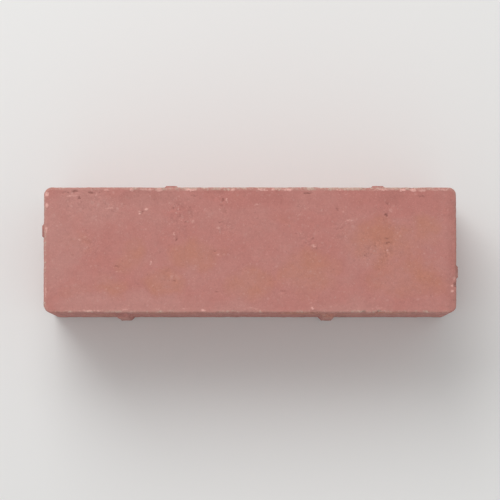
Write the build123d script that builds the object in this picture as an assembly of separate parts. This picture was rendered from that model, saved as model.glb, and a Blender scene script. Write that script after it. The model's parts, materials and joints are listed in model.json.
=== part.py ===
from build123d import *
import os

# A narrow paving stone, pressed in one piece from red concrete.
# The frame: X runs along the stone, Y across it and Z up from the bed face
# to the wear face. The origin is the middle of the bed face. Sizes are in mm.

# The block.
stone_length = 200.0
stone_width = 61.0
stone_height = 80.0
corner_radius = 4.0  # the four upright corners, in plan
top_arris_radius = 1.0  # where the wear face rolls over into the sides
base_arris_break = 0.6  # the small bevel round the bed face

# The spacer ribs. Each stands out of a side by the width of the joint, and its
# crest bears on the plain side of the next stone.
joint_width = 1.8
rib_crest_width = 5.0
rib_flank_run = 1.6  # from the crest's edge to the rib's foot, along the side
rib_drop = 10.0  # from the wear face down to where a rib begins
rib_lead_in = 6.0  # the height over which a rib slopes out to its crest
rib_root_depth = 2.0  # how far a rib's root runs on into the block

# The ribs' places. Stones lie in courses that are moved on by half a stone, so
# a rib stands off the quarter point, and the facing ribs pass it by.
long_rib_shift = 12.0
end_rib_shift = 10.0

course_step = (stone_length + joint_width) / 2
rib_foot_width = rib_crest_width + 2 * rib_flank_run
rib_top = stone_height - rib_drop


def pressed_block():
    """The stone without its ribs: the plan outline raised to full height,
    with a rounded top arris and a broken base arris."""
    with BuildPart() as block:
        with BuildSketch():
            RectangleRounded(stone_length, stone_width, corner_radius)
        extrude(amount=stone_height)
        wear_face = block.faces().sort_by(Axis.Z)[-1]
        fillet(wear_face.edges(), radius=top_arris_radius)
        bed_face = block.faces().sort_by(Axis.Z)[0]
        chamfer(bed_face.edges(), length=base_arris_break)
    return block.part


def rib_plan():
    """The rib's section in plan, a flat crest between two sloping flanks.
    The block's side is the line Y = 0, and the crest lies at +Y."""
    with BuildSketch() as plan:
        with BuildLine():
            Polyline(
                (-rib_foot_width / 2, -rib_root_depth),
                (rib_foot_width / 2, -rib_root_depth),
                (rib_foot_width / 2, 0),
                (rib_crest_width / 2, joint_width),
                (-rib_crest_width / 2, joint_width),
                (-rib_foot_width / 2, 0),
                close=True,
            )
        make_face()
    return plan.sketch


def rib_profile():
    """The rib seen along the side: it slopes out below its top, runs down
    straight, and has the same broken edge at the base as the block."""
    with BuildSketch(Plane.YZ) as profile:
        with BuildLine():
            Polyline(
                (-rib_root_depth, 0),
                (joint_width - base_arris_break, 0),
                (joint_width, base_arris_break),
                (joint_width, rib_top - rib_lead_in),
                (0, rib_top),
                (-rib_root_depth, rib_top),
                close=True,
            )
        make_face()
    return profile.sketch


def spacer_rib():
    """One rib: what its plan section and its side profile have in common."""
    standing = extrude(rib_plan(), amount=rib_top)
    lying = extrude(rib_profile(), amount=rib_foot_width / 2, both=True)
    return standing & lying


def rib_places():
    """Where the ribs stand: two on a long side and one on an end, and the
    same again turned half round about Z."""
    half_length = stone_length / 2
    half_width = stone_width / 2
    one_side = [
        Location((course_step / 2 + long_rib_shift, half_width, 0)),
        Location((-course_step / 2 + long_rib_shift, half_width, 0)),
        Location((half_length, -end_rib_shift, 0), (0, 0, -90)),
    ]
    half_turn = Location((0, 0, 0), (0, 0, 180))
    return one_side + [half_turn * place for place in one_side]


def paving_stone():
    """The whole stone: the block and its six ribs, pressed as one solid."""
    with BuildPart() as stone:
        add(pressed_block())
        with Locations(*rib_places()):
            add(spacer_rib())
    return stone.part


os.makedirs("parts", exist_ok=True)
export_step(paving_stone(), "parts/paving_stone.step")
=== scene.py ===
import json

import bpy
import numpy as np
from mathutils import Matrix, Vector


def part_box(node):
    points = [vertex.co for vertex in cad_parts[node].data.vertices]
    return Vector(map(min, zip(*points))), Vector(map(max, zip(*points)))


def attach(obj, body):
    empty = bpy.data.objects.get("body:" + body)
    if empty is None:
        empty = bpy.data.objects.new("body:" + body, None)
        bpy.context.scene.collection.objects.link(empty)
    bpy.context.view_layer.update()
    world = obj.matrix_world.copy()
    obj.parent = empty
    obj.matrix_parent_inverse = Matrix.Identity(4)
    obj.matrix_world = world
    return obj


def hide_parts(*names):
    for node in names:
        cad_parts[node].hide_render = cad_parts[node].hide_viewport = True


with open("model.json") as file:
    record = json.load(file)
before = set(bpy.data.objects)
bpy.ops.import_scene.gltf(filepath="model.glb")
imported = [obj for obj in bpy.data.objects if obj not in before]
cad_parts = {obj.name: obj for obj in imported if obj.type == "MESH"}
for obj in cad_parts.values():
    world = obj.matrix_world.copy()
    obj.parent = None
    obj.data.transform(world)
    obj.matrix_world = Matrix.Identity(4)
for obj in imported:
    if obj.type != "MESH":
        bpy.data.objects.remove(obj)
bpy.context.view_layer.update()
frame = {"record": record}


# The stone's shape. It is one piece of red concrete, pressed in a steel mould and pushed out of
# it upwards. So its sides are straight, its upright corners are round, its top arris is rolled
# over, and the spacer ribs on its sides slope out well under the wear face.
mm = 0.001
low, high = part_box("paving_stone")
joint_width = 1.8 * mm
stone_length = high.x - low.x - 2 * joint_width
stone_width = high.y - low.y - 2 * joint_width
stone_height = high.z
corner_radius = 4 * mm
top_arris_radius = 1 * mm
base_arris_break = 0.6 * mm

# The ribs. The two on a long side stand a course's step apart. A place is measured along its
# side from the middle, against the clock as seen from above, so opposite sides have the same.
rib_crest = 5 * mm
rib_foot = 8.2 * mm
rib_top = stone_height - 10 * mm
rib_lead_in = 6 * mm
mounts = {mount["name"]: mount["pos_m"] for mount in frame["record"]["mounts"]}
course_step = (stone_length + joint_width) / 2
long_side_ribs = [-mounts["joint_back"][0], course_step - mounts["joint_back"][0]]
end_ribs = [mounts["joint_right"][1]]

# The mesh has three steps of fineness. The wear face and its arris, where wear and marks show
# most, are twice as fine as the sides, and the sides are twice as fine as the bed face.
face_cell = 0.52 * mm
bed_cell = 4 * face_cell
side_row = 1.1 * mm
arris_steps = 5
skirt_depth = 3 * mm
bed_half_arc = 2  # cells of the bed face round half of an upright corner
face_half_arc = 4 * bed_half_arc


def evenly(start, end, cell):
    """Distances from start to end, both kept, in equal steps as near to one cell as fit."""
    return np.linspace(start, end, max(1, round(abs(end - start) / cell)) + 1)


def side_stations(half_side, ribs):
    """Distances along one side, from the middle of one round corner to the middle of the next,
    as coarse as the bed face. They are even between the corners' ends and the ribs' edges."""
    straight = half_side - corner_radius
    edges = np.add.outer(ribs, [-rib_foot / 2, -rib_crest / 2, rib_crest / 2, rib_foot / 2])
    breaks = [-straight, *np.sort(edges.ravel()), straight]
    runs = [evenly(start, end, bed_cell)[:-1] for start, end in zip(breaks[:-1], breaks[1:])]
    arc = np.linspace(0, corner_radius * np.pi / 4, bed_half_arc + 1)
    return np.concatenate([-straight - arc[:0:-1], *runs, straight + arc])


def halved(stations):
    """The same stations with one more in the middle of each step."""
    count = len(stations)
    return np.interp(np.arange(2 * count - 1) / 2, np.arange(count), stations)


def outline(long_stations, end_stations):
    """The stone's outline in plan, against the clock from the front left corner: each station's
    point, its outward direction and the rib's height there. On the straight part of a side, the
    point is half the stone's size out and the station's distance along. Past it, the direction
    turns with the corner's arc. A rib's height falls evenly from its crest to its foot."""
    half_length, half_width = stone_length / 2, stone_width / 2
    sides = [
        ((0, -1), half_width, half_length, long_stations, long_side_ribs),
        ((1, 0), half_length, half_width, end_stations, end_ribs),
        ((0, 1), half_width, half_length, long_stations, long_side_ribs),
        ((-1, 0), half_length, half_width, end_stations, end_ribs),
    ]
    points, directions, ribs = [], [], []
    for normal, out, half_side, stations, rib_places in sides:
        normal = np.array(normal)
        along = np.array([-normal[1], normal[0]])
        distance = stations[:-1, None]
        straight = np.clip(distance, corner_radius - half_side, half_side - corner_radius)
        turn = (distance - straight) / corner_radius
        direction = normal * np.cos(turn) + along * np.sin(turn)
        centre = normal * (out - corner_radius) + along * straight
        from_rib = np.min(np.abs(distance - np.array(rib_places)), axis=1)
        flank = (rib_foot / 2 - from_rib) / (rib_foot / 2 - rib_crest / 2)
        points.append(centre + direction * corner_radius)
        directions.append(direction)
        ribs.append(joint_width * np.clip(flank, 0, 1))
    return np.concatenate(points), np.concatenate(directions), np.concatenate(ribs)


def rib_bulge(rib, height):
    """How far a side stands out: the lower of the rib's height in plan and of its lead-in, which
    falls to nothing at the rib's top. The edge where they meet is eased over."""
    lead_in = joint_width * np.clip((rib_top - height) / rib_lead_in, 0, 1)
    ease = 0.12 * mm
    return np.clip(-ease * np.logaddexp(-rib / ease, -lead_in / ease), 0, None)


def carried(loop, offsets, heights, tilts):
    """A profile carried round an outline. A row is the outline moved out by the row's offsets, at
    its height, and it faces outward, tilted up by its tilt. Gives the points and their facings."""
    points, directions, _ = loop
    rows = points + directions * offsets[:, :, None]
    level = np.broadcast_to(heights[:, None, None], rows.shape[:2] + (1,))
    up = np.broadcast_to(np.sin(tilts)[:, None, None], level.shape)
    facings = np.concatenate([directions * np.cos(tilts)[:, None, None], up], axis=2)
    return np.concatenate([rows, level], axis=2), facings


def level_grid(runs, half_arc, height):
    """The flat rectangle between the four corner centres. Its lines run straight from a station
    to the one facing it. That one belongs to a side turned half round, so it is counted from the
    other end, and the lines slant a little where the ribs shift the stations."""
    along, across = [run[half_arc:-half_arc] for run in runs]
    to_back = (across / across[-1] + 1)[None, :] / 2
    to_right = (along / along[-1] + 1)[:, None] / 2
    x = along[:, None] * (1 - to_back) - along[::-1, None] * to_back
    y = across[None, :] * to_right - across[None, ::-1] * (1 - to_right)
    return np.stack([x, y, np.full_like(x, height)], axis=2)


def rim(grid, half_arc):
    """The numbers of a grid's rim vertices in the order of the outline's stations. All the
    stations round a corner share the grid's corner vertex."""
    sides = [grid[:, 0], grid[-1, :], grid[::-1, -1], grid[0, ::-1]]
    return np.concatenate([np.pad(side, half_arc, mode="edge")[:-1] for side in sides])


def squares(grid):
    """Two triangles for each square of a grid of vertex numbers, facing its first axis cross its
    second. A triangle with a repeated corner, next to a shared vertex, is left out."""
    a, b, c, d = grid[:-1, :-1], grid[1:, :-1], grid[1:, 1:], grid[:-1, 1:]
    halves = [np.stack(corners, axis=-1).reshape(-1, 3) for corners in ((a, b, c), (a, c, d))]
    made = np.concatenate(halves)
    return made[(made != np.roll(made, 1, axis=1)).all(axis=1)]


def closed(rows):
    """Rows that go round the stone, with their first column repeated at the end."""
    return np.concatenate([rows, rows[:, :1]], axis=1)


def step_down(fine, coarse):
    """Three triangles for each coarse cell, between a closed row and one half as fine."""
    left, middle, right = fine[:-1:2], fine[1::2], fine[2::2]
    near, far = coarse[:-1], coarse[1:]
    fans = [(left, near, middle), (near, far, middle), (middle, far, right)]
    return np.concatenate([np.stack(fan, axis=-1) for fan in fans])


bed_runs = side_stations(stone_length / 2, long_side_ribs), side_stations(stone_width / 2, end_ribs)
side_runs = [halved(run) for run in bed_runs]
face_runs = [halved(run) for run in side_runs]
face_loop, side_loop, bed_loop = outline(*face_runs), outline(*side_runs), outline(*bed_runs)

# The wear face from the corner centres out, its arris, and a skirt that is as fine.
face_insets = evenly(corner_radius, top_arris_radius, face_cell)[1:]
arris_tilts = np.linspace(np.pi / 2, 0, arris_steps + 1)[1:]
skirt = evenly(stone_height - top_arris_radius, stone_height - skirt_depth, face_cell)[1:]
insets = np.concatenate([face_insets, top_arris_radius * (1 - np.cos(arris_tilts)), 0 * skirt])
arris_heights = stone_height - top_arris_radius * (1 - np.sin(arris_tilts))
heights = np.concatenate([np.full_like(face_insets, stone_height), arris_heights, skirt])
tilts = np.concatenate([np.full_like(face_insets, np.pi / 2), arris_tilts, 0 * skirt])
offsets = -insets[:, None] * np.ones(len(face_loop[0]))
face_rows, face_facings = carried(face_loop, offsets, heights, tilts)

# The side, down to the sharp lower edge of the broken base arris. Each edge of that break faces
# halfway between the two surfaces that meet there.
side_heights = np.concatenate([
    evenly(skirt[-1], rib_top, side_row)[1:-1],
    evenly(rib_top, rib_top - rib_lead_in, side_row)[:-1],
    evenly(rib_top - rib_lead_in, base_arris_break, side_row),
    [0.0],
])
side_tilts = np.zeros(len(side_heights))
side_tilts[-2:] = -np.pi / 8, -np.pi * 3 / 8
offsets = rib_bulge(side_loop[2][None, :], side_heights[:, None])
offsets[-1] -= base_arris_break
side_rows, side_facings = carried(side_loop, offsets, side_heights, side_tilts)

# The bed face, from just inside its arris in to the corner centres.
bed_shares = np.array([0.35, 0.7])[:, None]
bed_rim = rib_bulge(bed_loop[2], 0.0) - base_arris_break
offsets = bed_rim * (1 - bed_shares) - corner_radius * bed_shares
bed_rows, bed_facings = carried(bed_loop, offsets, np.zeros(2), np.full(2, -np.pi / 2))

# The two level middles, and the whole skin from top to bottom.
face_middle = level_grid(face_runs, face_half_arc, stone_height)
bed_middle = level_grid(bed_runs, bed_half_arc, 0.0)
patches = [face_middle, face_rows, side_rows, bed_rows, bed_middle]
facings = [
    np.broadcast_to([0.0, 0.0, 1.0], face_middle.shape),
    face_facings,
    side_facings,
    bed_facings,
    np.broadcast_to([0.0, 0.0, -1.0], bed_middle.shape),
]
points = np.concatenate([patch.reshape(-1, 3) for patch in patches])
outward = np.concatenate([facing.reshape(-1, 3) for facing in facings])
ends = np.cumsum([patch[..., 0].size for patch in patches])
numbers = np.split(np.arange(len(points)), ends[:-1])
grids = [run.reshape(patch.shape[:2]) for run, patch in zip(numbers, patches)]
face_grid, face_numbers, side_numbers, bed_numbers, bed_grid = grids
face_numbers = closed(np.concatenate([rim(face_grid, face_half_arc)[None], face_numbers]))
side_numbers = closed(side_numbers)
bed_numbers = closed(np.concatenate([bed_numbers, rim(bed_grid, bed_half_arc)[None]]))
triangles = np.concatenate([
    squares(face_grid),
    squares(face_numbers),
    step_down(face_numbers[-1], side_numbers[0]),
    squares(side_numbers),
    step_down(side_numbers[-1], bed_numbers[0]),
    squares(bed_numbers),
    squares(bed_grid.T),
])


# The stone's surface. The wear face is fine and pressed smooth, with a few rougher patches, small
# hollows and pale marks. The sides are more open and carry the mould's upright streaks, the bed
# face took the grain of the board it was pressed on, and the arrises are ragged and chipped.
def scatter(cells, seed):
    """A random number from 0 to 1 for each row of three whole numbers. They and the seed are
    multiplied by large odd numbers, added up, and twice mixed with their own high bits."""
    factors = np.array([73856093, 19349663, 83492791], dtype=np.uint64)
    low_bits = np.uint64(0xFFFFFFFF)
    mixed = (cells.astype(np.int64).astype(np.uint64) * factors).sum(axis=-1)
    mixed = (mixed + np.uint64(seed * 2654435761)) & low_bits
    for shift, factor in [(15, 2246822519), (13, 3266489917)]:
        mixed = ((mixed ^ (mixed >> np.uint64(shift))) * np.uint64(factor)) & low_bits
    return (mixed ^ (mixed >> np.uint64(16))) / low_bits


def waves(places, size, seed):
    """Smooth noise from -1 to 1 that turns over about once in `size`. The corners of a lattice of
    that size get random numbers, and a place takes the mean of its cell's eight corners, each
    weighted by an eased step of how near it is."""
    cells = np.floor(places / size)
    part = places / size - cells
    eased = part ** 3 * (part * (part * 6 - 15) + 10)
    total = np.zeros(len(places))
    for corner in np.ndindex(2, 2, 2):
        weight = np.prod(np.where(corner, eased, 1 - eased), axis=1)
        total += weight * scatter(cells + corner, seed)
    return total * 2 - 1


def swells(places, layers):
    """Several layers of waves added up, each from 0 to twice its height. A layer is its size and
    its height, both in millimetres, and its seed."""
    return sum(height * (1 + waves(places, size * mm, seed)) for size, height, seed in layers)


def strayed(places, size, reach, seed):
    """The places moved about by up to `reach` along each axis, by waves of that size. A round
    shape that is looked up at strayed places comes out uneven."""
    return places + reach * np.stack([waves(places, size, seed + k) for k in range(3)], axis=1)


def pores(places, spacing, widest, share, seed):
    """Open pores, from 0 at a rim to 1 at the bottom. A share of the cells of a lattice hold one
    each, at a random place and of a random radius up to the widest. A place takes the deepest
    bowl, (1 - distance squared) squared times the radius's share, of its 27 nearest cells."""
    cells = np.floor(places / spacing)
    depth = np.zeros(len(places))
    for step in np.ndindex(3, 3, 3):
        cell = cells + step - 1
        shift = np.stack([scatter(cell, seed + k) for k in (1, 2, 3)], axis=1)
        size = 0.35 + 0.65 * scatter(cell, seed + 4) ** 2
        distance = np.linalg.norm(places - (cell + shift) * spacing, axis=1) / (size * widest)
        held = scatter(cell, seed + 5) < share
        depth = np.maximum(depth, held * size * np.clip(1 - distance ** 2, 0, 1) ** 2)
    return depth


def spots(places, marks):
    """Oval marks as seen from above: a mark's strength times 1 - distance squared, where the
    distance is 1 on its rim. A mark is its middle's x and y, half its length along x and half
    its width, all in millimetres, and its strength."""
    strength = np.zeros(len(places))
    for x, y, half_long, half_wide, most in marks:
        across = (places[:, :2] / mm - (x, y)) / (half_long, half_wide)
        strength = np.maximum(strength, most * (1 - np.sum(across ** 2, axis=1)))
    return strength


def bitten(places, centre, radius, seed):
    """The surface after a chip: what lies inside a lumpy ball is pushed out of it along the
    ball's radii. Also gives how far each place was pushed."""
    reach = places - centre
    distance = np.linalg.norm(reach, axis=1)
    lumpy = radius * (1 + 0.22 * waves(places, 0.9 * mm, seed))
    push = np.clip(lumpy - distance, 0, None)
    return places + reach * (push / distance)[:, None], push


def rise(values, start, end):
    """0 before start, 1 past end, and an eased step between."""
    part = np.clip((values - start) / (end - start), 0, 1)
    return part * part * (3 - 2 * part)


facing_up = np.clip(outward[:, 2], 0, 1)
facing_down = np.clip(-outward[:, 2], 0, 1)
upright = 1 - np.abs(outward[:, 2])
on_face = facing_up ** 2

# Where a place lies in plan: how far inside the outline, or how far out of it, on a rib. That is
# the corner radius less the distance from the rectangle of corner centres. From it come how near
# a place is to the line of the top arris and of the base arris, and what lies on a rib's crest.
past_centres = np.abs(points[:, :2]) - (np.array([stone_length, stone_width]) / 2 - corner_radius)
inside = corner_radius - np.linalg.norm(np.clip(past_centres, 0, None), axis=1)
inside += np.clip(-past_centres.max(axis=1), 0, None)
rib_wear = 0.8 * rise(-inside, 0.7 * joint_width, joint_width)
inside = np.clip(inside, 0, None)
from_top = np.hypot(inside, stone_height - points[:, 2])
from_base = np.hypot(inside, points[:, 2])
top_arris = rise(outward[:, 2], -0.6, 0.5) * (1 - rise(from_top, 0.8 * mm, 1.9 * mm))
base_arris = 1 - rise(from_base, 0.6 * mm, 3.0 * mm)

# The top arris is worn pale, partly as a painted highlight, most along the back from a third of
# the stone's length on, far less along the front and the left end, and hardly at the right end.
worn_and_highlit_back = rise(points[:, 1], 24 * mm, 29 * mm) * rise(points[:, 0], -65 * mm, -25 * mm)
right_end = rise(points[:, 0], 94 * mm, 98.5 * mm)
top_wear_and_highlight = top_arris * (0.28 + 0.72 * worn_and_highlit_back) * (1 - 0.6 * right_end)

# The marks on the wear face, placed after the picture. First the small hollows.
hollows = [
    (-84.8, 28.3, 2.0, 0.8, 0.8),
    (-89.2, 27.7, 4.4, 0.6, 0.4),
    (-82.6, 25.1, 1.1, 0.8, 0.9),
    (-76.7, 27.6, 2.6, 0.6, 0.6),
    (-51.9, 18.2, 1.2, 1.0, 0.4),
    (-36.9, 20.1, 1.0, 0.9, 0.4),
    (-34.5, 22.6, 1.5, 0.8, 0.4),
    (-33.9, 16.8, 1.0, 1.4, 0.4),
    (-30.5, 13.3, 1.4, 0.8, 0.5),
    (-27.2, 26.3, 2.4, 0.7, 0.5),
    (-13.1, 24.3, 0.8, 1.5, 0.6),
    (-14.1, 13.4, 2.4, 0.7, 0.4),
    (-35.4, 5.5, 0.7, 1.7, 0.6),
    (-36.5, -15.3, 0.9, 1.1, 0.4),
    (-64.2, -8.1, 2.4, 0.7, 0.4),
    (-16.2, -20.2, 1.8, 0.7, 0.5),
    (-17.0, -0.4, 1.6, 0.9, 0.4),
    (28.1, 27.6, 2.6, 0.7, 0.8),
    (42.5, 19.6, 1.1, 1.4, 0.5),
    (42.7, 10.4, 3.2, 0.7, 0.4),
    (27.2, 3.5, 0.8, 1.5, 0.4),
    (30.4, 5.2, 1.5, 0.7, 0.4),
    (32.5, 0.8, 1.0, 0.9, 0.5),
    (60.7, 2.9, 0.8, 3.0, 0.4),
    (66.8, 5.6, 2.6, 0.9, 0.4),
    (67.1, 3.4, 2.9, 0.8, 0.5),
    (66.2, -2.8, 1.3, 1.1, 0.5),
    (55.8, -2.9, 2.6, 0.8, 0.4),
    (65.8, 16.9, 1.0, 1.0, 0.8),
    (66.8, 22.2, 1.0, 1.1, 0.4),
    (83.2, 25.9, 2.4, 0.7, 0.5),
    (15.7, -20.0, 2.0, 0.7, 0.5),
]

# Pale scuffs and bare grains. The last thirty or so lie along the arrises and are partly painted
# highlights.
pale_marks = [
    (-86.4, 26.2, 4.4, 0.6, 0.6),
    (-68.2, 20.3, 3.0, 0.8, 0.5),
    (-53.4, 17.9, 1.0, 1.2, 0.8),
    (-50.4, 19.7, 1.1, 1.0, 1.0),
    (-48.0, -6.4, 1.0, 1.5, 0.5),
    (-36.6, 7.7, 0.7, 1.8, 0.5),
    (-82.4, 5.3, 1.4, 1.5, 0.3),
    (-63.4, -10.5, 2.6, 0.7, 0.4),
    (-37.9, -12.5, 1.4, 1.6, 0.3),
    (-27.5, 13.6, 1.1, 1.6, 0.4),
    (-15.1, 10.9, 1.6, 1.3, 0.4),
    (-15.2, -2.4, 1.3, 0.9, 0.3),
    (-11.3, 23.9, 0.8, 1.6, 0.6),
    (3.3, 22.2, 2.6, 0.7, 0.5),
    (24.2, 17.3, 2.4, 0.8, 0.3),
    (31.1, 1.9, 1.8, 1.3, 0.5),
    (48.1, 14.3, 2.6, 0.8, 0.4),
    (45.0, 18.4, 1.0, 1.0, 0.3),
    (66.8, -0.3, 1.1, 1.1, 0.5),
    (68.3, 18.9, 1.2, 2.0, 0.4),
    (-60.3, -28.7, 3.4, 0.7, 0.4),
    (-22.6, -29.4, 1.6, 0.9, 1.0),
    (-31.0, -28.3, 3.4, 0.6, 0.4),
    (0.8, -28.2, 4.4, 0.7, 0.4),
    (30.1, -28.2, 1.0, 0.9, 0.9),
    (61.4, -28.4, 4.0, 0.7, 0.3),
    (-76.2, -29.4, 9.8, 0.6, 0.5),
    (-69.6, 29.2, 1.8, 0.7, 0.6),
    (-57.4, 29.2, 1.3, 0.9, 1.0),
    (-50.0, 29.3, 4.4, 0.7, 0.8),
    (-44.0, 29.2, 1.9, 0.9, 1.7),
    (-28.8, 29.2, 3.4, 0.8, 1.4),
    (-8.5, 29.2, 1.6, 0.9, 0.9),
    (6.1, 29.3, 3.4, 0.7, 1.0),
    (11.2, 29.3, 1.2, 0.7, 0.9),
    (18.2, 29.3, 3.4, 0.7, 0.8),
    (43.8, 29.2, 2.4, 0.7, 0.5),
    (65.5, 29.3, 7.0, 0.7, 0.7),
    (74.0, 29.1, 1.7, 0.9, 1.5),
    (78.8, 29.1, 2.0, 0.9, 1.4),
    (83.4, 28.9, 2.6, 0.7, 0.8),
    (92.0, 29.3, 6.5, 0.7, 0.6),
    (-98.5, 27.0, 0.9, 1.5, 1.3),
    (-98.5, 21.6, 1.1, 1.5, 1.5),
    (-98.6, 9.7, 0.9, 1.6, 1.2),
    (-98.9, -20.0, 0.7, 6.0, 0.5),
    (97.6, -17.4, 0.9, 1.0, 0.8),
    (97.9, -20.0, 1.0, 1.0, 0.9),
    (99.0, -13.8, 0.8, 1.0, 0.6),
]

# Rougher patches, and patches of a browner red.
rough_patches = [
    (-34.0, 18.0, 9.0, 11.0, 1.0),
    (-13.0, 18.0, 7.0, 11.0, 0.9),
    (-74.0, 23.0, 16.0, 8.0, 0.9),
    (-78.0, 6.0, 12.0, 6.0, 0.5),
    (-37.0, -14.0, 7.0, 6.0, 0.6),
    (26.0, 19.0, 10.0, 8.0, 0.6),
    (45.0, 13.0, 12.0, 10.0, 0.8),
    (30.0, 3.0, 8.0, 6.0, 0.8),
    (66.0, 18.0, 8.0, 9.0, 0.8),
    (63.0, 1.0, 14.0, 9.0, 0.8),
    (97.0, -17.0, 5.0, 9.0, 1.0),
]
brown_patches = [
    (64.0, 4.0, 23.0, 15.0, 1.0),
    (85.0, 11.0, 10.0, 9.0, 0.9),
    (77.0, -13.0, 25.0, 13.0, 0.7),
    (27.0, -11.0, 18.0, 14.0, 1.0),
    (0.0, -16.0, 14.0, 9.0, 0.9),
    (-27.0, -3.0, 15.0, 10.0, 1.0),
    (-41.0, -15.0, 13.0, 9.0, 1.0),
    (-57.0, -3.0, 9.0, 9.0, 0.7),
    (-67.0, -18.0, 10.0, 7.0, 0.8),
    (-84.0, 4.0, 10.0, 6.0, 0.6),
    (-82.0, -20.0, 11.0, 6.0, 0.5),
]

# Where the face has a greyish film of lime bloom, and where it is cleanest and most ruddy.
bloom_patches = [
    (-94.0, 6.0, 14.0, 26.0, 0.5),
    (-78.0, 21.0, 22.0, 12.0, 0.5),
    (-46.0, 26.0, 20.0, 7.0, 0.3),
    (-56.0, -28.0, 46.0, 9.0, 0.6),
    (-6.0, -29.0, 16.0, 7.0, 0.5),
    (46.0, -29.0, 26.0, 6.0, 0.3),
]
ruddy_patches = [
    (0.0, 27.0, 25.0, 10.0, 0.6),
    (69.0, 26.0, 27.0, 10.0, 0.6),
    (31.0, 12.0, 12.0, 6.0, 0.4),
    (62.0, 14.0, 9.0, 10.0, 0.3),
]

# Where the face is darker, in patches just inside the back arris, besides the strip along the right
# end.
darker_patches = [
    (-50.0, 26.5, 18.0, 5.0, 0.8),
    (-18.0, 27.0, 9.0, 4.0, 0.5),
    (11.0, 26.0, 16.0, 5.0, 0.6),
    (67.0, 26.5, 10.0, 4.5, 0.8),
    (88.0, 27.0, 9.0, 4.0, 0.3),
]

# Small marks get uneven rims, the patches of colour and dirt drift a little out of their ovals,
# and the rough patches wander further.
uneven = strayed(points, size=0.9 * mm, reach=0.35 * mm, seed=70)
drifting = strayed(points, size=9 * mm, reach=2.5 * mm, seed=90)
wandering = strayed(points, size=9 * mm, reach=6 * mm, seed=90)
hollow = spots(uneven, hollows) * on_face
pale = spots(uneven, pale_marks) * on_face
rough = spots(wandering, rough_patches) + 0.3 * rise(waves(points, 19 * mm, 26), 0, 0.8)
rough = np.clip(rough, 0, 1) * on_face

# The pores of the three faces, and faint scuffs, three times as long along the stone as across,
# that crowd on the rough patches.
open_places = strayed(points, size=2.2 * mm, reach=0.9 * mm, seed=80)
face_pores = pores(uneven, spacing=7.5 * mm, widest=0.85 * mm, share=0.4, seed=50)
side_pores = pores(open_places, spacing=5.0 * mm, widest=2.2 * mm, share=0.5, seed=30)
bed_pores = pores(open_places, spacing=4.4 * mm, widest=2.6 * mm, share=0.65, seed=40)
drawn_out = uneven * (0.32, 1, 1)
dark_scuffs = rough * pores(drawn_out, spacing=3.2 * mm, widest=0.75 * mm, share=0.6, seed=55)
pale_scuffs = rough * pores(drawn_out, spacing=3.2 * mm, widest=0.75 * mm, share=0.6, seed=65)

# The relief, as a depth in millimetres under the true surface. A faint groove, which the plate's
# edge left, runs just inside the top arris. The sides and the bed face also rise a little, up to
# the true surface of the rib crests and of the bed, which cut them off level.
groove_inset = 2.8
groove_width = 0.5
open_face_rise = 0.14
groove = np.exp(-((inside / mm - groove_inset) / groove_width) ** 2)
groove *= rise(waves(points, 8 * mm, 27), -0.5, 0.3)
face_relief = swells(points, [(34, 0.05, 11), (9, 0.02, 12), (2.6, 0.012, 13), (1.3, 0.010, 14)])
face_relief += 0.30 * face_pores + 0.40 * hollow + 0.16 * dark_scuffs + 0.09 * groove
face_relief += rough * swells(points, [(2.2, 0.09, 28)]) - 0.06 * pale - 0.05 * pale_scuffs
side_relief = swells(points, [(21, 0.08, 15), (5.2, 0.05, 16), (2.4, 0.07, 17)]) - open_face_rise
side_relief += 0.9 * side_pores + swells(points * (1, 1, 0.06), [(1.9, 0.05, 18)])
bed_relief = 1.1 * bed_pores + swells(points, [(5.5, 0.14, 19), (2.4, 0.12, 20)]) - open_face_rise
ragged = 0.6 * waves(points, 1.3 * mm, 21) + 0.6 * waves(points, 4.5 * mm, 22) - 0.1
depth = facing_up * face_relief + upright * side_relief + facing_down * bed_relief
depth += (0.5 * top_arris + 0.9 * base_arris) * np.clip(ragged, 0, None)
points = points - outward * depth[:, None] * mm

# Chips out of the arrises. The first three, at the right end, are the crumbled stretch that the
# picture shows, the next eight are small ones on the rest of the top arris, and the last six are
# on the base. Each is its ball's centre and radius, in millimetres.
chips = [
    (101.4, -17.0, 80.9, 2.8),
    (101.2, -21.5, 80.8, 1.9),
    (100.9, -11.8, 80.9, 1.6),
    (43.0, 31.3, 80.6, 2.0),
    (54.9, 31.3, 80.6, 2.1),
    (-23.4, -31.6, 80.8, 1.8),
    (-87.0, 31.4, 80.8, 1.5),
    (13.4, 31.4, 80.7, 1.7),
    (-101.2, -28.0, 81.0, 1.8),
    (54.9, -31.4, 80.6, 2.1),
    (62.5, -31.4, 80.6, 2.2),
    (88.0, -31.8, 0.2, 3.4),
    (-71.0, -31.9, -0.4, 2.9),
    (-101.9, 24.0, -0.2, 3.6),
    (24.0, 31.9, 0.0, 3.1),
    (-52.0, 32.0, 0.0, 2.6),
    (102.0, 18.0, -0.3, 3.3),
]
pushed = np.zeros(len(points))
for number, (x, y, z, radius) in enumerate(chips):
    points, push = bitten(points, np.array([x, y, z]) * mm, radius * mm, 60 + number)
    pushed = np.maximum(pushed, push)
points = np.clip(points, low, high)
crumbled = rise(pushed, 0, 0.25 * mm)
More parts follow.
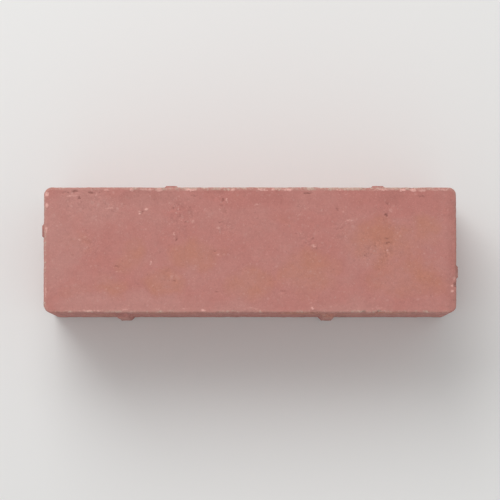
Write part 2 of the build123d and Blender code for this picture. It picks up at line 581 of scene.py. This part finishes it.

# What the material reads: how hollow, pale or open a place is, how worn with its painted highlight,
# its share of brown and of lime bloom, and how much darker it is.
holes = facing_up * (hollow + 0.5 * face_pores + 0.5 * dark_scuffs) + upright * side_pores
holes += facing_down * bed_pores
brown = on_face * spots(drifting, brown_patches)
brown += (1 - on_face) * rise(waves(points, 24 * mm, 24), 0, 0.8)
bloom = 0.4 + (0.3 - 0.15 * on_face) * waves(points, 17 * mm, 25)
bloom += on_face * (spots(drifting, bloom_patches) - spots(drifting, ruddy_patches))
# How much darker the face is, in those patches and along the right end.
darkening = on_face * np.maximum(spots(drifting, darker_patches), right_end)
surface_values = {
    "hollow": holes,
    "pale_mark": pale + 0.5 * pale_scuffs,
    "brown": brown,
    "bloom": bloom,
    "darkening": darkening,
    "top_wear_and_highlight": top_wear_and_highlight,
    "base_wear": np.maximum(base_arris, rib_wear),
    "open_grain": 0.4 * rough + upright + facing_down + crumbled,
}
mesh = bpy.data.meshes.new("pressed_stone")
mesh.vertices.add(len(points))
mesh.vertices.foreach_set("co", points.astype(np.float32).ravel())
mesh.loops.add(triangles.size)
mesh.loops.foreach_set("vertex_index", triangles.astype(np.int32).ravel())
mesh.polygons.add(len(triangles))
mesh.polygons.foreach_set("loop_start", np.arange(0, triangles.size, 3, dtype=np.int32))
mesh.update(calc_edges=True)
mesh.shade_smooth()
for name, values in surface_values.items():
    column = mesh.attributes.new(name, "FLOAT", "POINT").data
    column.foreach_set("value", np.clip(values, 0, 1).astype(np.float32))
stone = bpy.data.objects.new("pressed_stone", mesh)
bpy.context.scene.collection.objects.link(stone)


# The red concrete. Iron oxide colours it right through, so its pigment clouds, sand and fine
# gaps run through the whole stone. The wear face is closed with cement and shows them faintly,
# and on the sides, the bed face and in chips the grains and the gaps between them lie open.
def add_node(tree, kind, inputs, **settings):
    """Adds one node. Its settings are set by name, and each input is given a value or joined to
    the output that feeds it. Gives its outputs."""
    made = tree.nodes.new(kind)
    for name, value in settings.items():
        setattr(made, name, value)
    for name, value in inputs.items():
        if isinstance(value, bpy.types.NodeSocket):
            tree.links.new(value, made.inputs[name])
        else:
            made.inputs[name].default_value = value
    return made.outputs


def blend(tree, amount, first, second):
    """The first colour turned towards the second by an amount from 0 to 1. A Mix node has sockets
    of the same names for numbers and for colours, so these are picked by number."""
    return add_node(tree, "ShaderNodeMix", {0: amount, 6: first, 7: second}, data_type="RGBA")[2]


def reckon(tree, operation, *values):
    """One step of arithmetic on values that change over the surface."""
    return add_node(tree, "ShaderNodeMath", dict(enumerate(values)), operation=operation)[0]


def steer(tree, operation, inputs):
    """One step of arithmetic on places or colours."""
    return add_node(tree, "ShaderNodeVectorMath", inputs, operation=operation)[0]


def between(tree, value, start, end, low=0.0, high=1.0):
    """Low before start, high past end, and an eased step between."""
    sockets = {"Value": value, "From Min": start, "From Max": end, "To Min": low, "To Max": high}
    return add_node(tree, "ShaderNodeMapRange", sockets, interpolation_type="SMOOTHSTEP")[0]


def noise(tree, place, turns, detail, roughness=0.5):
    """Noise around 0.5 that turns over about so many times a metre: its value and its colour."""
    sockets = {"Vector": place, "Scale": turns, "Detail": detail, "Roughness": roughness}
    return add_node(tree, "ShaderNodeTexNoise", sockets)


def start_group(name, inputs, outputs):
    """An empty shader node group with named sockets, and its ends: what comes in, what goes out."""
    group = bpy.data.node_groups.new(name, "ShaderNodeTree")
    for socket, kind in inputs.items():
        group.interface.new_socket(socket, in_out="INPUT", socket_type="NodeSocket" + kind)
    for socket, kind in outputs.items():
        group.interface.new_socket(socket, in_out="OUTPUT", socket_type="NodeSocket" + kind)
    return group, group.nodes.new("NodeGroupInput").outputs, group.nodes.new("NodeGroupOutput").inputs


# Pigment clouds: rose turned to clay and to ash by two shares, whose edges a noise breaks up,
# and a finer mottle of tone over all of it.
clouds, given, wanted = start_group(
    "pigment_clouds",
    {
        "Place": "Vector",
        "Rose": "Color",
        "Clay": "Color",
        "Ash": "Color",
        "Clay Share": "Float",
        "Ash Share": "Float",
        "Mottle": "Float",
    },
    {"Colour": "Color"},
)
edge = reckon(clouds, "MULTIPLY_ADD", noise(clouds, given["Place"], 90, 5, 0.6)[0], 1.2, -0.6)
clay_share = between(clouds, reckon(clouds, "ADD", given["Clay Share"], edge), 0, 1)
ash_share = between(clouds, reckon(clouds, "SUBTRACT", given["Ash Share"], edge), 0, 1)
red = blend(clouds, clay_share, given["Rose"], given["Clay"])
red = blend(clouds, ash_share, red, given["Ash"])
swing = reckon(clouds, "SUBTRACT", noise(clouds, given["Place"], 210, 5, 0.65)[0], 0.5)
tone = reckon(clouds, "MULTIPLY_ADD", swing, given["Mottle"], 1.0)
clouds.links.new(steer(clouds, "SCALE", {0: red, "Scale": tone}), wanted["Colour"])

# Sand: each cell of a Voronoi pattern, looked up at slightly strayed places, is one grain. Its
# tone is random, a few are pale, a few dark, and each is a low dome that falls off to its edge.
sand, given, wanted = start_group(
    "sand",
    {"Place": "Vector", "Grains a Metre": "Float", "Pale Share": "Float", "Dark Share": "Float"},
    {"Tone": "Float", "Pale": "Float", "Dark": "Float", "Dome": "Float"},
)
straying = noise(sand, given["Place"], given["Grains a Metre"], 1)["Color"]
straying = steer(sand, "SUBTRACT", {0: straying, 1: (0.5, 0.5, 0.5)})
reach = reckon(sand, "DIVIDE", 0.7, given["Grains a Metre"])
straying = steer(sand, "SCALE", {0: straying, "Scale": reach})
sockets = {
    "Vector": steer(sand, "ADD", {0: given["Place"], 1: straying}),
    "Scale": given["Grains a Metre"],
}
cell = add_node(sand, "ShaderNodeTexVoronoi", sockets)
from_edge = add_node(sand, "ShaderNodeTexVoronoi", sockets, feature="DISTANCE_TO_EDGE")["Distance"]
chance = add_node(sand, "ShaderNodeSeparateColor", {"Color": cell["Color"]})
dome = between(sand, from_edge, 0.0, 0.28)
is_pale = reckon(sand, "LESS_THAN", chance["Red"], given["Pale Share"])
is_dark = reckon(sand, "LESS_THAN", chance["Green"], given["Dark Share"])
dome_height = reckon(sand, "MULTIPLY_ADD", chance["Blue"], 0.6, 0.4)
sand.links.new(chance["Blue"], wanted["Tone"])
sand.links.new(reckon(sand, "MULTIPLY", dome, is_pale), wanted["Pale"])
sand.links.new(reckon(sand, "MULTIPLY", dome, is_dark), wanted["Dark"])
sand.links.new(reckon(sand, "MULTIPLY", dome, dome_height), wanted["Dome"])

# Gaps: irregular small holes, where a rough noise falls under a level.
gaps, given, wanted = start_group(
    "gaps",
    {"Place": "Vector", "Gaps a Metre": "Float", "Level": "Float"},
    {"Gap": "Float"},
)
ground = noise(gaps, given["Place"], given["Gaps a Metre"], 3, 0.7)[0]
under = reckon(gaps, "SUBTRACT", given["Level"], ground)
gaps.links.new(between(gaps, under, 0.0, 0.05), wanted["Gap"])

# The colours of the concrete's parts, and the surface values as its nodes read them.
rose = (0.473, 0.188, 0.163, 1)
clay = (0.477, 0.197, 0.143, 1)
ash = (0.485, 0.224, 0.196, 1)
pale_sand = (0.70, 0.46, 0.41, 1)
dark_sand = (0.24, 0.10, 0.08, 1)
# Worn edges, pale from wear, and on the top arris also a painted highlight.
worn_and_highlit_edge = (0.56, 0.42, 0.34, 1)
# Pale scuffs, and along the arrises partly a painted highlight.
scuffed_and_highlit = (0.74, 0.40, 0.35, 1)
# The painted shade of hollows, pores and gaps, and the colour the darker strips turn towards.
crevice_shade = (0.17, 0.062, 0.047, 1)
concrete = bpy.data.materials.new("red_concrete")
concrete.use_nodes = True
tree = concrete.node_tree
tree.nodes.clear()
place = add_node(tree, "ShaderNodeTexCoord", {})["Object"]
value_of = {
    name: add_node(tree, "ShaderNodeAttribute", {}, attribute_name=name)["Fac"]
    for name in surface_values
}


def placed(group, **values):
    """A node group placed in the concrete, with its own values. Gives its outputs."""
    sockets = {name.replace("_", " "): value for name, value in values.items()}
    return add_node(tree, "ShaderNodeGroup", {"Place": place, **sockets}, node_tree=group)


clouded = placed(
    clouds,
    Rose=rose,
    Clay=clay,
    Ash=ash,
    Clay_Share=value_of["brown"],
    Ash_Share=value_of["bloom"],
    Mottle=0.17,
)["Colour"]

# The mould's upright streaks, which show where the grain is open.
stretched = add_node(tree, "ShaderNodeMapping", {"Vector": place, "Scale": (1, 1, 0.05)})[0]
streak = between(tree, noise(tree, stretched, 500, 4)[0], 0.3, 0.7, -0.07, 0.07)
tone = reckon(tree, "MULTIPLY_ADD", streak, value_of["open_grain"], 1.0)
colour = steer(tree, "SCALE", {0: clouded, "Scale": tone})

# Wear in broken lines along the arrises and on the rib crests, on the top arris with a painted
# highlight in it. The more worn a place is, the more of it a noise lets through.
fine_break = noise(tree, place, 1100, 3)[0]
break_up = reckon(tree, "ADD", fine_break, noise(tree, place, 260, 2)[0])
let_through = reckon(tree, "MULTIPLY_ADD", value_of["top_wear_and_highlight"], 0.25, break_up)
worn_and_highlit_top = between(tree, let_through, 1.05, 1.41, 0.10, 0.80)
worn_and_highlit_top = reckon(tree, "MULTIPLY", between(tree, value_of["top_wear_and_highlight"], 0.0, 0.3), worn_and_highlit_top)
worn_base = between(tree, break_up, 0.88, 1.20, 0.0, 0.35)
worn_base = reckon(tree, "MULTIPLY", value_of["base_wear"], worn_base)
wear_and_highlight = reckon(tree, "MAXIMUM", worn_and_highlit_top, worn_base)
colour = blend(tree, wear_and_highlight, colour, worn_and_highlit_edge)

# Pale scuffs, with their rims broken up, and along the arrises partly painted highlights. The sand
# lies open in them, and in the worn places too.
rim_break = reckon(tree, "MULTIPLY_ADD", fine_break, 1.2, -0.6)
scuff_and_highlight = reckon(tree, "ADD", value_of["pale_mark"], rim_break)
scuff_and_highlight = between(tree, scuff_and_highlight, 0.1, 0.8, 0.0, 0.95)
colour = blend(tree, scuff_and_highlight, colour, scuffed_and_highlit)
bared = reckon(tree, "MULTIPLY", reckon(tree, "MAXIMUM", wear_and_highlight, scuff_and_highlight), 0.7)
is_open = reckon(tree, "MAXIMUM", value_of["open_grain"], bared)

# Three sizes of sand: how many grains to a metre, the pale share and the dark share of them, how
# strongly they show and how high they stand, in millimetres. The last two are given for the
# closed wear face and for the open sides.
sand_sizes = [
    (2300, 0.08, 0.10, (0.14, 0.45), (0.024, 0.040)),
    (950, 0.05, 0.06, (0.13, 0.45), (0.034, 0.10)),
    (420, 0.05, 0.05, (0.04, 0.40), (0.015, 0.16)),
]
relief = 0.0
for a_metre, pale_share, dark_share, strength, grain_height in sand_sizes:
    grains = placed(sand, Grains_a_Metre=a_metre, Pale_Share=pale_share, Dark_Share=dark_share)
    shown = between(tree, is_open, 0, 1, *strength)
    swing = reckon(tree, "MULTIPLY", reckon(tree, "SUBTRACT", grains["Tone"], 0.5), shown)
    tone = reckon(tree, "MULTIPLY_ADD", swing, 0.45, 1.0)
    colour = steer(tree, "SCALE", {0: colour, "Scale": tone})
    colour = blend(tree, reckon(tree, "MULTIPLY", grains["Dark"], shown), colour, dark_sand)
    colour = blend(tree, reckon(tree, "MULTIPLY", grains["Pale"], shown), colour, pale_sand)
    height = between(tree, is_open, 0, 1, *grain_height)
    relief = reckon(tree, "MULTIPLY_ADD", grains["Dome"], height, relief)

# Painted shade in the hollows and pores, with their rims broken up, and in the gaps between the
# grains, and a broken-up darkening over some strips of the face.
hole = between(tree, reckon(tree, "ADD", value_of["hollow"], rim_break), 0.15, 0.75)
gap = placed(gaps, Gaps_a_Metre=700, Level=0.33)["Gap"]
gap = reckon(tree, "MULTIPLY", gap, between(tree, is_open, 0, 1, 0.25, 0.80))
shadow = reckon(tree, "MAXIMUM", reckon(tree, "MULTIPLY", hole, 0.55), gap)
# The darker patches and the strip along the right end, broken up.
darkening_share = between(tree, break_up, 0.7, 1.3, 0.06, 0.24)
shadow = reckon(tree, "MAXIMUM", shadow, reckon(tree, "MULTIPLY", value_of["darkening"], darkening_share))
colour = blend(tree, shadow, colour, crevice_shade)
relief = reckon(tree, "MULTIPLY_ADD", hole, -0.12, relief)
relief = reckon(tree, "MULTIPLY_ADD", gap, -0.25, relief)

# The finish is dry and matt, and the fine relief, in millimetres, bends the light.
bumped = add_node(tree, "ShaderNodeBump", {"Height": relief, "Distance": mm, "Strength": 1.0})
finish = {
    "Base Color": colour,
    "Roughness": reckon(tree, "MULTIPLY_ADD", fine_break, 0.2, 0.8),
    "Specular IOR Level": 0.3,
    "Normal": bumped["Normal"],
}
shader = add_node(tree, "ShaderNodeBsdfPrincipled", finish)
add_node(tree, "ShaderNodeOutputMaterial", {"Surface": shader[0]})
mesh.materials.append(concrete)

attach(stone, "root")
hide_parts("paving_stone")


# The floor. A plain pale board with a matt finish, which the stone stands on. It is wide enough to
# fill any view, and it belongs to the studio and not to the stone.
floor_half = 6.0
corners = [(-1, -1), (1, -1), (1, 1), (-1, 1)]
floor_mesh = bpy.data.meshes.new("floor")
floor_mesh.from_pydata([(x * floor_half, y * floor_half, 0) for x, y in corners], [], [(0, 1, 2, 3)])
board = bpy.data.materials.new("pale_board")
board.use_nodes = True
board_shader = board.node_tree.nodes["Principled BSDF"]
board_shader.inputs["Base Color"].default_value = (0.80, 0.80, 0.79, 1)
board_shader.inputs["Roughness"].default_value = 0.9
floor_mesh.materials.append(board)
floor = bpy.data.objects.new("floor", floor_mesh)
bpy.context.scene.collection.objects.link(floor)


# The light. An even pale sky all round, and one large soft lamp from beyond the back long side,
# where the picture is a little brighter. Together they light a level face at about full strength.
sky_strength = 0.60
lamp_size = 0.9
lamp_watts = 11.0
lamp_place = (-0.35, 0.80, 1.20)
world = bpy.data.worlds.new("studio")
world.use_nodes = True
background = world.node_tree.nodes["Background"]
background.inputs["Color"].default_value = (1, 1, 1, 1)
background.inputs["Strength"].default_value = sky_strength
bpy.context.scene.world = world
lamp_data = bpy.data.lights.new("soft_lamp", "AREA")
lamp_data.size = lamp_size
lamp_data.energy = lamp_watts
lamp = bpy.data.objects.new("soft_lamp", lamp_data)
lamp.location = lamp_place
lamp.rotation_euler = (-lamp.location).to_track_quat("-Z", "Y").to_euler()
lamp.visible_camera = False
bpy.context.scene.collection.objects.link(lamp)


# The camera. As in the picture, it looks almost straight down on the wear face, from a little in
# front. It stands far off with a long lens, so that the upright sides hardly show.
tilt = np.radians(2.7)
stand_off = 1.6
frame_width = 0.242
camera_data = bpy.data.cameras.new("camera")
camera_data.lens = camera_data.sensor_width * stand_off / frame_width
camera_data.clip_end = 4 * floor_half
camera = bpy.data.objects.new("camera", camera_data)
camera.location = (0, -stand_off * np.sin(tilt), stone_height + stand_off * np.cos(tilt))
camera.rotation_euler = (tilt, 0, 0)
bpy.context.scene.collection.objects.link(camera)
bpy.context.scene.camera = camera
bpy.context.scene.view_settings.view_transform = "Standard"
